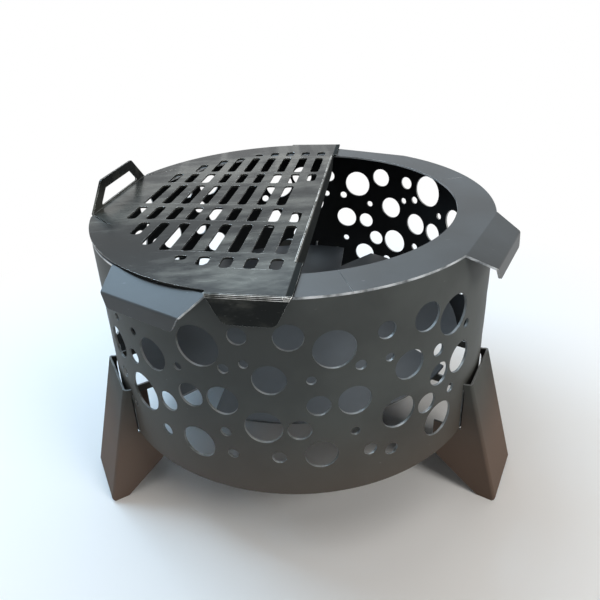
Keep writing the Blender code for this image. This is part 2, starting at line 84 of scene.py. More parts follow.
Point = tuple[float, float]
Spot = tuple[float, float, float]
Colour = tuple[float, float, float, float]
Object = bpy.types.Object
Material = bpy.types.Material
Points = tuple[Point, ...]
Loop = list[Point]
Fold = tuple[int, float]


class Body(Enum):
    """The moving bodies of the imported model."""

    DRUM = "drum"
    TRAY = "tray"
    GRATE = "grate"
    LEFT_LEG = "left_leg"
    RIGHT_LEG = "right_leg"
    BACK_LEG = "back_leg"


class Slot(Enum):
    """The record's material slots."""

    SATIN_PAINT = "satin_paint"
    TRAY_PAINT = "tray_paint"
    MILL_STEEL = "mill_steel"


# Plan geometry


def polar(radius: float, azimuth: float) -> Point:
    """Returns the plan position at a radius and an azimuth in degrees."""
    angle = radians(azimuth)
    return radius * cos(angle), radius * sin(angle)


def arc(radius: float, start: float, end: float) -> Loop:
    """Returns the points of an arc between two azimuths, both ends included, about a degree apart."""
    count = max(1, round(abs(end - start)))
    return [polar(radius, start + (end - start) * index / count) for index in range(count + 1)]


def reach_at(radius: float, aside: float) -> float:
    """Returns how far out a circle reaches at a distance to the side of its middle line."""
    return sqrt(radius ** 2 - aside ** 2)


def rounded(points: Sequence[Point], radii: float | Sequence[float]) -> Loop:
    """Rounds the corners of a closed outline.

    Args:
        points: the sharp corners in order.
        radii: one radius for all corners, or one a corner.

    Returns:
        The outline with its rounded corners.
    """
    each = [radii] * len(points) if isinstance(radii, float) else radii
    outline: Loop = []
    for index, corner in enumerate(points):
        here = Vector(corner)
        if each[index] <= 0.0:
            outline.append((here.x, here.y))
            continue
        before = (Vector(points[index - 1]) - here).normalized()
        after = (Vector(points[(index + 1) % len(points)]) - here).normalized()
        half = 0.5 * before.angle(after)
        centre = here + (before + after).normalized() * (each[index] / sin(half))
        reach = each[index] / tan(half)
        first = here + before * reach - centre
        last = here + after * reach - centre
        sweep = atan2(first.cross(last), first.dot(last))
        for step in range(CORNER_FACETS + 1):
            swing = Matrix.Rotation(sweep * step / CORNER_FACETS, 2) @ first
            outline.append((centre.x + swing.x, centre.y + swing.y))
    return outline


@dataclass(frozen=True)
class Bend:
    """A fold: where it starts along the blank, its turn (up is positive), outer radius and facets."""

    start: float
    turn: float
    radius: float
    facets: int

    @property
    def length(self) -> float:
        """Returns the length of sheet that the bend takes on its outer face."""
        return self.radius * radians(abs(self.turn))

    def lines(self) -> list[float]:
        """Returns the distances along the blank at which the bend's facets meet."""
        return [self.start + self.length * step / self.facets for step in range(self.facets + 1)]


def folded(distance: float, depth: float, bends: Sequence[Bend]) -> Point:
    """Follows a strip of sheet through its bends.

    Args:
        distance: how far along the flat blank the point lies.
        depth: how far it lies under the outer face.
        bends: the folds in their order along the strip.

    Returns:
        The reach and the rise of the point.
    """
    reach, rise, heading, done = 0.0, 0.0, 0.0, 0.0
    for bend in bends:
        if distance <= bend.start:
            break
        reach += (bend.start - done) * cos(heading)
        rise += (bend.start - done) * sin(heading)
        used = min(distance - bend.start, bend.length)
        swing = copysign(used / bend.radius, bend.turn)
        side = copysign(bend.radius, bend.turn)
        reach += side * (sin(heading + swing) - sin(heading))
        rise += side * (cos(heading) - cos(heading + swing))
        heading += swing
        done = bend.start + used
    reach += (distance - done) * cos(heading)
    rise += (distance - done) * sin(heading)
    return reach + depth * sin(heading), rise - depth * cos(heading)


def around(spot: Spot, azimuth: float, centre: Point = AXIS) -> Spot:
    """Turns a point, given as outward, sideways and up, to an azimuth about a centre."""
    (x, y, z), (east, north) = spot, polar(1.0, azimuth)
    return centre[0] + x * east - y * north, centre[1] + x * north + y * east, z


# Modelling by operators


def deselect() -> None:
    """Clears the selection, which the frame's loading leaves full."""
    bpy.ops.object.select_all(action="DESELECT")


def activate(piece: Object) -> None:
    """Makes one object the only selected and the active one."""
    deselect()
    piece.select_set(True)
    bpy.context.view_layer.objects.active = piece


@contextmanager
def editing(piece: Object) -> Iterator[None]:
    """Keeps one object in edit mode for the operators inside."""
    activate(piece)
    bpy.ops.object.mode_set(mode="EDIT")
    yield
    bpy.ops.object.mode_set(mode="OBJECT")


def apply_modifier(piece: Object, kind: str, **settings: object) -> None:
    """Adds a modifier with its settings and applies it.

    Args:
        piece: the object to change.
        kind: the modifier's type.
        settings: the modifier's properties.
    """
    activate(piece)
    modifier = piece.modifiers.new(kind.lower(), kind)
    for name, value in settings.items():
        setattr(modifier, name, value)
    bpy.ops.object.modifier_apply(modifier=modifier.name)


# Sheet pieces


@dataclass(frozen=True)
class Finish:
    """The materials of one sheet: its faces and its cut edges."""

    face: Material
    edge: Material


@dataclass
class SheetPiece:
    """One folded or rolled sheet, cut from a flat blank."""

    name: str
    body: Body
    slot: Slot
    node: str
    edge: float = 0.45
    smooth: float = 50.0
    # Whether the cut faces take the bright edge finish, partly wear and partly painted highlight.
    bare_and_highlit_cuts: bool = True

    def loops(self) -> list[Loop]:
        """Returns the blank's outline and the outlines of its holes."""
        raise NotImplementedError

    def folds(self) -> list[Fold]:
        """Returns the lines that split the blank: the axis that each crosses, and where."""
        return []

    def place(self, x: float, y: float, depth: float) -> Spot:
        """Maps a point of the blank, at a depth under its outer face, to its folded place."""
        raise NotImplementedError

    def cut(self) -> Object:
        """Cuts the flat blank from its outlines and gives it the sheet's thickness.

        Returns:
            The blank as a closed mesh object, its outer face up at height zero.
        """
        curve = bpy.data.curves.new(self.name, "CURVE")
        curve.dimensions = "2D"
        curve.fill_mode = "BOTH"
        for loop in self.loops():
            spline = curve.splines.new("POLY")
            spline.points.add(len(loop) - 1)
            for point, (x, y) in zip(spline.points, loop):
                point.co = (x, y, 0.0, 1.0)
            spline.use_cyclic_u = True
        blank = bpy.data.objects.new(self.name, curve)
        bpy.context.scene.collection.objects.link(blank)
        activate(blank)
        bpy.ops.object.convert(target="MESH")
        blank = bpy.context.active_object
        with editing(blank):
            bpy.ops.mesh.select_all(action="SELECT")
            bpy.ops.mesh.remove_doubles(threshold=MERGE)
            bpy.ops.mesh.normals_make_consistent(inside=False)
        if sum(face.normal.z * face.area for face in blank.data.polygons) < 0.0:
            blank.data.flip_normals()
        apply_modifier(blank, "SOLIDIFY", thickness=SHEET, offset=-1.0)
        return blank

    def paint(self, blank: Object, finish: Finish) -> None:
        """Gives the flat sheet its finish, and its cut faces the edge finish of bare steel and painted
        highlight where they are bare.
        """
        blank.data.materials.clear()
        blank.data.materials.append(finish.face)
        blank.data.materials.append(finish.edge)
        for face in blank.data.polygons:
            face.material_index = int(self.bare_and_highlit_cuts and abs(face.normal.z) < 0.5)

    def ease(self, piece: Object, width: float) -> None:
        """Takes the sharpness off the cut edges, which get the edge finish of wear and painted highlight.
        """
        apply_modifier(piece, "BEVEL", width=width, segments=2, limit_method="ANGLE", angle_limit=SHARP,
                       use_clamp_overlap=True, material=1)

    def soften(self, blank: Object) -> None:
        """Softens the blank's edges while it is flat."""
        self.ease(blank, self.edge)

    def worn_or_highlit(self, x: float, y: float) -> bool:
        """Tells whether a point of the blank lies on a fold that gets a bright line, partly wear and
        partly painted highlight.
        """
        return False

    def split(self, blank: Object) -> None:
        """Splits the blank along its fold lines, and leaves the ones with bright lines selected."""
        with editing(blank):
            for axis, at in self.folds():
                across = ((-1.0, 0.0, 0.0), (0.0, 1.0, 0.0))[axis]
                bpy.ops.mesh.select_all(action="SELECT")
                bpy.ops.mesh.bisect(plane_co=(at, at, 0.0), plane_no=across, threshold=MERGE)
            bpy.ops.mesh.select_mode(type="EDGE")
            bpy.ops.mesh.select_all(action="DESELECT")
        corners = blank.data.vertices
        for edge in blank.data.edges:
            ends = [corners[index].co for index in edge.vertices]
            edge.select = all(end.z > -NEAR and self.worn_or_highlit(end.x, end.y) for end in ends)

    def form(self, blank: Object) -> None:
        """Folds or rolls the blank, brings it to its place in metres and gives its chosen folds bright
        strips of worn steel and painted highlight.
        """
        for vertex in blank.data.vertices:
            x, y, z = vertex.co
            vertex.co = Vector(self.place(x, y, -z)) * MM
        blank.data.update()
        if any(edge.select for edge in blank.data.edges):
            with editing(blank):
                # Painted highlight: the bevelled fold strips take the bright edge finish.
                bpy.ops.mesh.bevel(offset=FOLD_WEAR_AND_HIGHLIGHT * MM, segments=1, affect="EDGES", material=1)

    def shade(self, piece: Object) -> None:
        """Shades the piece smooth, with its flat faces kept flat."""
        activate(piece)
        bpy.ops.object.shade_smooth_by_angle(angle=radians(self.smooth))
        apply_modifier(piece, "WEIGHTED_NORMAL", mode="FACE_AREA", weight=90, keep_sharp=True)

    def build(self, finish: Finish) -> None:
        """Makes the piece and hands it to the frame.

        Args:
            finish: the materials of its faces and its cut edges.
        """
        piece = self.cut()
        self.paint(piece, finish)
        self.soften(piece)
        self.split(piece)
        self.form(piece)
        self.shade(piece)
        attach(piece, self.body.value)
        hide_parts(self.node)
        LOG.info("%s: %d faces", self.name, len(piece.data.polygons))


@dataclass
class RimSegment(SheetPiece):
    """A quarter of the rim with its lifting tab."""

    azimuth: float = 0.0
    root_width: float = 154.0
    bend_width: float = 126.0
    lip_width: float = 105.0
    slope: float = 26.0
    tab_length: float = 37.5
    lip_turn: float = 56.0
    lip_length: float = 20.5
    lip_corner: float = 8.0
    bend_radius: float = 4.0

    def __post_init__(self) -> None:
        """Works out the crease and the two bends of the tab."""
        self.crease = reach_at(RIM_OUTER, self.root_width / 2.0)
        self.bends = (Bend(self.crease, -self.slope, self.bend_radius, 4),
                      Bend(self.crease + self.tab_length, -self.lip_turn, self.bend_radius, 6))

    def loops(self) -> list[Loop]:
        """Returns the outline of the quarter and its tab."""
        root, middle, lip = self.root_width / 2.0, self.bend_width / 2.0, self.lip_width / 2.0
        fold = self.crease + self.tab_length
        tip = self.bends[1].start + self.bends[1].length + self.lip_length - self.bend_radius
        inner_end, outer_end = (QUARTER / 2.0 - degrees(GAP / 2.0 / radius)
                                for radius in (RIM_INNER, RIM_OUTER))
        tab_edge = degrees(asin(root / RIM_OUTER))
        tab = rounded([(self.crease, -root), (fold, -middle), (tip, -lip),
                       (tip, lip), (fold, middle), (self.crease, root)],
                      [0.0, 0.0, self.lip_corner, self.lip_corner, 0.0, 0.0])
        ring = arc(RIM_INNER, inner_end, -inner_end) + arc(RIM_OUTER, -outer_end, -tab_edge)
        return [ring + tab[1:-1] + arc(RIM_OUTER, tab_edge, outer_end)]

    def folds(self) -> list[Fold]:
        """Returns the lines of the tab's two bends."""
        return [(0, x) for bend in self.bends for x in bend.lines()]

    def place(self, x: float, y: float, depth: float) -> Spot:
        """Folds the tab down and puts the quarter at its azimuth."""
        reach, rise = x, -depth
        if x > self.crease and abs(y) <= self.root_width / 2.0:
            reach, rise = folded(x, depth, self.bends)
        return around((reach, y, rise + RIM_HEIGHT), self.azimuth)


@dataclass
class DrumWall(SheetPiece):
    """The rolled wall with its air holes and the slots that take the legs.

    Each hole is its place along a layout that repeats, its distance down from the top and its diameter.
    One band of the second run sits higher.
    """

    radius: float = WALL_RADIUS
    height: float = 290.0
    strips: int = 180
    slot_height: float = 80.0
    slot_clearance: float = 1.0
    period: float = 762.0
    hole_clearance: float = 3.0
    lifted_run: int = 1
    lifted_band: Point = (125.0, 250.0)
    lift: float = 18.0
    large_hole: float = 30.0
    large_facets: int = 56
    small_facets: int = 36
    overshoot: float = 10.0
    weld: float = 1e-5
    holes: tuple[Spot, ...] = (
        (38, 184, 18), (39, 132, 48), (61, 226, 12), (53, 84, 12), (94, 48, 36),
        (85, 131, 24), (98, 184, 58), (97, 87, 12), (131, 108, 48),
        (137, 229, 18), (149, 175, 30), (175, 110, 12), (189, 149, 36), (192, 225, 48),
        (208, 71, 58), (234, 146, 42), (234, 195, 14), (240, 97, 14), (241, 229, 14), (261, 49, 24),
        (266, 87, 12), (284, 180, 48), (295, 108, 42), (301, 227, 18), (320, 49, 36), (328, 183, 30),
        (344, 109, 12), (352, 147, 30), (354, 224, 42), (372, 69, 52), (396, 146, 42), (397, 194, 12),
        (403, 96, 14), (417, 229, 18), (435, 56, 24), (440, 95, 12), (447, 240, 18), (456, 183, 48),
        (469, 116, 42), (493, 57, 40), (501, 190, 30), (516, 114, 18), (521, 153, 34), (526, 229, 52),
        (543, 74, 56), (548, 190, 14), (565, 149, 46), (575, 102, 14), (688, 116, 36), (694, 180, 42),
        (698, 50, 42), (704, 241, 14), (724, 92, 24), (728, 140, 24), (726, 220, 36), (742, 182, 14),
        (748, 56, 18),
    )

    @property
    def length(self) -> float:
        """Returns the length of the unrolled wall on its outer face."""
        return 2.0 * pi * self.radius

    def slot_places(self) -> list[float]:
        """Returns where the legs' slots are centred along the unrolled wall."""
        swing = asin((LEG_WIDTH / 2.0 - SHEET / 2.0) / (self.radius - SHEET / 2.0))
        return sorted((radians(THIRD * index) + side * swing) % (2.0 * pi) * self.radius
                      for index in range(3) for side in (-1.0, 1.0))

    def slot_width(self) -> float:
        """Returns the width of a slot that a leg's side passes through at a slant."""
        slant = asin(LEG_WIDTH / 2.0 / self.radius)
        return SHEET / cos(slant) + SHEET * tan(slant) + self.slot_clearance

    def air_holes(self) -> list[Spot]:
        """Returns each hole that is clear of slots and seam: its place along and up, and its diameter."""
        kept = []
        for run in range(ceil(self.length / self.period)):
            for along, down, diameter in self.holes:
                lifted = run == self.lifted_run and self.lifted_band[0] <= along <= self.lifted_band[1]
                x = run * self.period + along
                y = self.height - down + (self.lift if lifted else 0.0)
                reach = diameter / 2.0 + self.hole_clearance
                above = max(0.0, y - self.slot_height)
                apart = reach + self.slot_width() / 2.0
                near_slot = any(hypot(x - slot, above) < apart for slot in self.slot_places())
                on_sheet = reach <= x <= self.length - reach and reach <= y <= self.height - reach
                if on_sheet and not near_slot:
                    kept.append((x, y, diameter))
        return kept

    def dip(self, azimuth: float) -> float:
        """Returns how far the top edge drops to stay under a sloping tab, if one is there."""
        from_tab = (azimuth - FIRST_TAB + QUARTER / 2.0) % QUARTER - QUARTER / 2.0
        crease = reach_at(RIM_OUTER, RimSegment.root_width / 2.0)
        slope = radians(RimSegment.slope)
        beyond = self.radius * cos(radians(from_tab)) - crease
        return max(0.0, beyond * tan(slope) + SHEET * (1.0 / cos(slope) - 1.0))

    def cutter(self) -> Object:
        """Returns one mesh of all the solids that take out the air holes and the slots."""
        middle, depth = -SHEET / 2.0, 4.0 * SHEET
        tool = bpy.data.objects.new("cutter", bpy.data.meshes.new("cutter"))
        bpy.context.scene.collection.objects.link(tool)
        with editing(tool):
            for x, y, diameter in self.air_holes():
                facets = self.large_facets if diameter > self.large_hole else self.small_facets
                bpy.ops.mesh.primitive_cylinder_add(vertices=facets, radius=diameter / 2.0, depth=depth,
                                                    location=(x, y, middle))
            tall = self.slot_height + self.overshoot
            for x in self.slot_places():
                spot = (x, self.slot_height - tall / 2.0, middle)
                bpy.ops.mesh.primitive_cube_add(size=1.0, location=spot,
                                                scale=(self.slot_width(), tall, depth))
        return tool

    def cut(self) -> Object:
        """Cuts the wall as a flat slab of strips, with its holes and slots taken out by cutters.

        Returns:
            The flat wall as a mesh object whose two short ends are left open for the seam.
        """
        deselect()
        bpy.ops.mesh.primitive_grid_add(x_subdivisions=self.strips, y_subdivisions=2, size=1.0)
        slab = bpy.context.active_object
        slab.name = self.name
        for vertex in slab.data.vertices:
            x = (vertex.co.x + 0.5) * self.length
            top = self.height - self.dip(FIRST_LEG + 360.0 * x / self.length)
            vertex.co = (x, (vertex.co.y + 0.5) * top, 0.0)
        apply_modifier(slab, "SOLIDIFY", thickness=SHEET, offset=-1.0)
        tool = self.cutter()
        apply_modifier(slab, "BOOLEAN", operation="DIFFERENCE", object=tool, solver="EXACT")
        bpy.data.objects.remove(tool)
        self.open_ends(slab)
        return slab

    def open_ends(self, slab: Object) -> None:
        """Removes the slab's two end faces, which meet each other at the rolled wall's seam."""
        with editing(slab):
            bpy.ops.mesh.select_mode(type="FACE")
            bpy.ops.mesh.select_all(action="DESELECT")
        for face in slab.data.polygons:
            from_end = min(face.center.x, self.length - face.center.x)
            face.select = abs(face.normal.x) > 0.99 and from_end < NEAR
        with editing(slab):
            bpy.ops.mesh.delete(type="ONLY_FACE")

    def soften(self, blank: Object) -> None:
        """Leaves the edges for after the rolling, when the seam is closed."""

    def place(self, x: float, y: float, depth: float) -> Spot:
        """Rolls the wall round the drum's axis, with its seam at the first leg."""
        plan = polar(self.radius - depth, FIRST_LEG + 360.0 * x / self.length)
        return AXIS[0] + plan[0], AXIS[1] + plan[1], WALL_BOTTOM + y

    def outward(self, spot: Vector) -> Vector:
        """Returns the level direction away from the drum's axis at a place in metres."""
        return Vector((spot.x - AXIS[0] * MM, spot.y - AXIS[1] * MM, 0.0)).normalized()

    def shade(self, piece: Object) -> None:
        """Closes the seam, softens the cut edges and gives the rolled faces true round normals."""
        with editing(piece):
            bpy.ops.mesh.select_all(action="SELECT")
            bpy.ops.mesh.remove_doubles(threshold=self.weld)
        self.ease(piece, self.edge * MM)
        super().shade(piece)
        mesh = piece.data
        normals = [(0.0, 0.0, 0.0)] * len(mesh.loops)
        for face in mesh.polygons:
            facing = face.normal.dot(self.outward(face.center))
            if abs(facing) < 0.99:
                continue
            for loop in face.loop_indices:
                radial = self.outward(mesh.vertices[mesh.loops[loop].vertex_index].co)
                normals[loop] = tuple(radial * copysign(1.0, facing))
        mesh.normals_split_custom_set(normals)


@dataclass
class Leg(SheetPiece):
    """A splayed leg whose two sides fold in, pass the wall's slots and carry the tray.

    The neck is measured out from the wall's face and down from the arm, the belly from the drum's axis
    and down from the wall's bottom, and the sole is the flat on the ground.
    """

    azimuth: float = 0.0
    top: Point = (312.0, 194.5)
    foot: Point = (360.85, 6.5)
    bend_radius: float = 5.0
    wall_clearance: float = 2.0
    tongue: float = 191.9
    seat: float = 195.2
    arm_end: float = 240.0
    arm_depth: float = 8.0
    neck: Points = ((-1.0, 2.0), (0.0, 8.0))
    belly: Points = ((264.0, GAP), (264.0, 55.0), (275.0, 65.5))
    sole: Point = (335.5, 357.0)

    def __post_init__(self) -> None:
        """Works out the web's direction, the fold and how far the wall's two faces are from a side."""
        half = LEG_WIDTH / 2.0
        self.wall_face = reach_at(WALL_RADIUS, half - SHEET) + self.wall_clearance
        self.inner_face = reach_at(WALL_RADIUS - SHEET, half) - self.wall_clearance
        self.head = Vector(self.top)
        self.down = (Vector(self.foot) - self.head).normalized()
        self.inward = Vector((self.down.y, -self.down.x))
        self.bend = Bend(half - self.bend_radius, -QUARTER, self.bend_radius, 8)

    def side(self) -> Loop:
        """Returns the outline of a side as radius and height, from the web's top round to its bottom."""
        low = self.tongue - self.arm_depth
        outline = [(self.wall_face, self.tongue), (self.inner_face, self.tongue),
                   (self.inner_face, self.seat), (self.arm_end, self.seat),
                   (self.arm_end, low), (self.inner_face, low)]
        outline += [(self.wall_face + out, low - drop) for out, drop in self.neck]
        outline.append((self.wall_face, WALL_BOTTOM - GAP))
        outline += [(radius, WALL_BOTTOM - drop) for radius, drop in self.belly]
        return outline + [(radius, 0.0) for radius in self.sole]

    def loops(self) -> list[Loop]:
        """Returns the outline of the leg's blank, both sides unfolded."""
        length = (Vector(self.foot) - self.head).length
        start = self.bend.start + self.bend.length - self.bend_radius
        half: Loop = [(self.bend.start, 0.0)]
        for radius, height in self.side():
            offset = Vector((radius, height)) - self.head
            half.append((start + offset.dot(self.inward), -offset.dot(self.down)))
        half.append((self.bend.start, -length))
        return [half + [(-x, y) for x, y in reversed(half)]]

    def folds(self) -> list[Fold]:
        """Returns the lines of both bends."""
        return [(0, side * x) for x in self.bend.lines() for side in (-1.0, 1.0)]

    def place(self, x: float, y: float, depth: float) -> Spot:
        """Folds the sides in and stands the leg at its azimuth."""
        across, rise = folded(abs(x), depth, (self.bend,))
        point = self.head - self.down * y - self.inward * rise
        return around((point.x, copysign(across, x), point.y), self.azimuth)


@dataclass
class FireTray(SheetPiece):
    """The loose round tray with a V-shaped air notch in each quarter."""

    radius: float = 268.0
    top: float = 198.5
    notch_width: float = 62.0
    notch_depth: float = 82.0
    first_notch: float = -124.0

    def loops(self) -> list[Loop]:
        """Returns the tray's outline."""
        half = degrees(asin(self.notch_width / 2.0 / self.radius))
        outline: Loop = []
        for index in range(4):
            azimuth = index * QUARTER
            outline.append(polar(self.radius - self.notch_depth, azimuth))
            outline += arc(self.radius, azimuth + half, azimuth + QUARTER - half)
        return [outline]

    def place(self, x: float, y: float, depth: float) -> Spot:
        """Lays the tray on the legs' arms."""
        return around((x, y, self.top - depth), self.first_notch)


@dataclass
class CookingGrate(SheetPiece):
    """The half-moon grate: two hooks over the rim, a stiffening flange and a handle from one sheet.

    The flange's ends follow a curve of points: the share of its drop and the share of its taper.
    """

    radius: float = 310.0
    setback: float = 8.0
    bend_radius: float = 4.0
    straight_edge: float = 54.5
    hook_width: float = 99.5
    hook_tip: float = 60.0
    hook_drop: float = 38.0
    hook_corner: float = 12.0
    flange_face: float = 48.0
    flange_drop: float = 27.0
    flange_half: float = 229.89
    flange_taper: float = 40.0
    flange_curve: Points = ((0.17, 0.05), (0.4, 0.17), (0.63, 0.4), (0.82, 0.68), (1.0, 1.0))
    handle_fold: float = 291.0
    handle_radius: float = 1.0
    handle_inset: float = 8.4
    handle_height: float = 42.5
    handle_narrowing: float = 42.5
    handle_corner: float = 9.0
    window: Point = (3.0, 26.5)
    window_side: float = 26.3
    window_corner: float = 3.0
    relief: Point = (51.0, 40.5)
    relief_width: float = 1.5
    slot_width: float = 15.5
    slot_corner: float = 6.0
    corner_share: float = 0.4
    slot_margin: float = 49.5
    pitch: float = 31.0
    first_column: float = -31.25
    middle_row: Point = (-45.0, 45.0)
    side_rows: Points = ((59.0, 110.0), (122.0, 212.0), (225.0, 254.0))
    first_start: float = 72.0

    def __post_init__(self) -> None:
        """Works out the bends, the handle's root and the drum's axis as the grate has it."""
        reach = RIM_OUTER + self.setback + 2.0 * GAP
        self.hook_bend = Bend(reach + SHEET - self.bend_radius, -QUARTER, self.bend_radius, 3)
        self.flange_bend = Bend(self.flange_face - self.bend_radius, -QUARTER, self.bend_radius, 4)
        self.handle_bend = Bend(self.handle_fold, QUARTER, self.handle_radius, 3)
        self.root_half = reach_at(self.radius, self.handle_fold) - self.handle_inset
        self.centre = tuple(a + b for a, b in zip(AXIS, polar(self.setback, GRATE_AZIMUTH - QUARTER)))

    def spans(self, column: int, edge: float) -> list[Point]:
        """Returns where a column's slots start and end, cut off where the plate's margin begins."""
        spans = [self.middle_row] if column > 0 else []
        for index, (start, end) in enumerate(self.side_rows):
            if column == 0 and index == 0:
                start = self.first_start
            end = min(end, edge)
            if end - start >= self.slot_width / 2.0:
                spans += [(start, end), (-end, -start)]
        return spans

    def slots(self) -> list[Loop]:
        """Returns the cooking slots. The middle row's first slot stays bare plate."""
        slots = []
        limit = self.radius - self.slot_margin
        for column in range(ceil((limit - self.first_column) / self.pitch)):
            west = self.first_column + column * self.pitch
            east = west + self.slot_width
            if east >= limit:
                continue
            for low, high in self.spans(column, reach_at(limit, east)):
                slots.append(rounded([(west, low), (east, low), (east, high), (west, high)],
                                     min(self.slot_corner, self.corner_share * (high - low))))
        return slots

    def handle(self) -> tuple[Loop, Loop]:
        """Returns half of the flap that folds up into the handle, and the whole window in it."""
        start = self.handle_fold + self.handle_bend.length - self.handle_radius
        top = start + self.handle_height
        flap = rounded([(self.handle_fold, self.root_half), (top, self.root_half - self.handle_narrowing),
                        (top, 0.0)], [0.0, self.handle_corner, 0.0])[:-1]
        low, high = (self.root_half - self.handle_narrowing * rise / self.handle_height - self.window_side
                     for rise in self.window)
        window = rounded([(start + self.window[0], -low), (start + self.window[1], -high),
                          (start + self.window[1], high), (start + self.window[0], low)],
                         self.window_corner)
        return flap, window

    def loops(self) -> list[Loop]:
        """Returns the outline of the grate's blank, the handle's window and the slots."""
        flap, window = self.handle()
        hook_outer = self.hook_width - self.straight_edge
        middle = hook_outer - self.hook_width / 2.0
        tip = self.hook_tip / 2.0
        fold = self.hook_bend.start
        end = fold + self.hook_bend.length + self.hook_drop - self.bend_radius
        inner = self.flange_bend.start
        edge_angle = QUARTER - degrees(asin(hook_outer / self.radius))
        chord_angle = degrees(acos(self.handle_fold / self.radius))
        slit_x, slit_y = self.handle_fold - self.relief[0], self.root_half + self.relief[1]
        kerf = 2.0 * self.relief_width
        half = flap[::-1]
        half += [(slit_x, slit_y - self.relief_width / 2.0), (slit_x, slit_y + self.relief_width / 2.0)]
        half.append((self.handle_fold, self.root_half + kerf))
        half += arc(self.radius, chord_angle, edge_angle)
        half += rounded([(hook_outer, fold), (middle + tip, end), (middle - tip, end),
                         (-self.straight_edge, fold)], [0.0, self.hook_corner, self.hook_corner, 0.0])
        half += [(-self.straight_edge, self.flange_half + kerf), (-inner, self.flange_half + kerf),
                 (-inner, self.flange_half)]
        start = inner + self.flange_bend.length
        for down, narrower in self.flange_curve:
            half.append((-start - down * (self.flange_drop - self.bend_radius),
                         self.flange_half - narrower * self.flange_taper))
        return [half + [(x, -y) for x, y in reversed(half)], window] + self.slots()

    def folds(self) -> list[Fold]:
        """Returns the lines of the hooks' folds, the flange's and the handle's."""
        folds = [(1, side * y) for y in self.hook_bend.lines() for side in (-1.0, 1.0)]
        folds += [(0, -x) for x in self.flange_bend.lines()]
        return folds + [(0, x) for x in self.handle_bend.lines()]

    def worn_or_highlit(self, x: float, y: float) -> bool:
        """Tells whether a point lies on a hook's fold or on the first lines of the flange's, which get
        bright lines of wear and painted highlight.
        """
        on_hook = any(abs(abs(y) - line) < NEAR for line in self.hook_bend.lines())
        on_flange = any(abs(-x - line) < NEAR for line in self.flange_bend.lines()[:2])
        return on_hook or (on_flange and abs(y) < self.flange_half)

    def place(self, x: float, y: float, depth: float) -> Spot:
        """Folds the hooks and the flange down and the handle up, and lays the grate on the rim."""
        across, rise = y, -depth
        if x > self.handle_fold:
            x, rise = folded(x, depth, (self.handle_bend,))
        elif abs(y) > self.hook_bend.start:
            reach, rise = folded(abs(y), depth, (self.hook_bend,))
            across = copysign(reach, y)
        elif -x > self.flange_bend.start and abs(y) < self.flange_half + self.relief_width:
            reach, rise = folded(-x, depth, (self.flange_bend,))
            x = -reach
        return around((x, across, rise + RIM_HEIGHT + GAP + SHEET), GRATE_AZIMUTH, self.centre)


# Shader maths


def operator(operation: str, flipped: bool = False) -> Callable[[Wire, Wire | float], Wire]:
    """Returns an operator that joins two values with one Math node, or its reflected form."""
    return lambda wire, other: wire.math(operation, other, flipped)


@dataclass
class Wire:
    """A socket's value in a material, with arithmetic that adds its Math nodes."""

    shop: Shop
    socket: bpy.types.NodeSocket

    def math(self, operation: str, other: Wire | float, flipped: bool = False) -> Wire:
        """Joins this value and another with one Math node."""
        pair = (other, self) if flipped else (self, other)
        return self.shop.node("ShaderNodeMath", {"operation": operation}, *pair)

    __add__, __radd__ = operator("ADD"), operator("ADD", True)
    __sub__, __rsub__ = operator("SUBTRACT"), operator("SUBTRACT", True)
    __mul__, __rmul__ = operator("MULTIPLY"), operator("MULTIPLY", True)

    def ramp(self, low: float, high: float) -> Wire:
        """Rises smoothly from 0 at low to 1 at high."""
        return self.shop.node("ShaderNodeMapRange", {"interpolation_type": "SMOOTHSTEP"},
                              self, low, high, 0.0, 1.0)

    def between(self, low: float, high: float) -> Wire | float:
        """Goes from low to high as the value goes from 0 to 1, or gives the number if they are one."""
        return low if low == high else low + self * (high - low)

    def output(self, name: str) -> Wire:
        """Returns another output of the same node."""
        return Wire(self.shop, self.socket.node.outputs[name])


@dataclass(frozen=True)
class Noise:
    """A noise: waves a metre, detail, roughness, the span it rises over, its stretch and its turn."""

    scale: float
    detail: float
    rough: float
    span: Point = (0.0, 1.0)
    stretch: Spot | None = None
    turn: float = 0.0


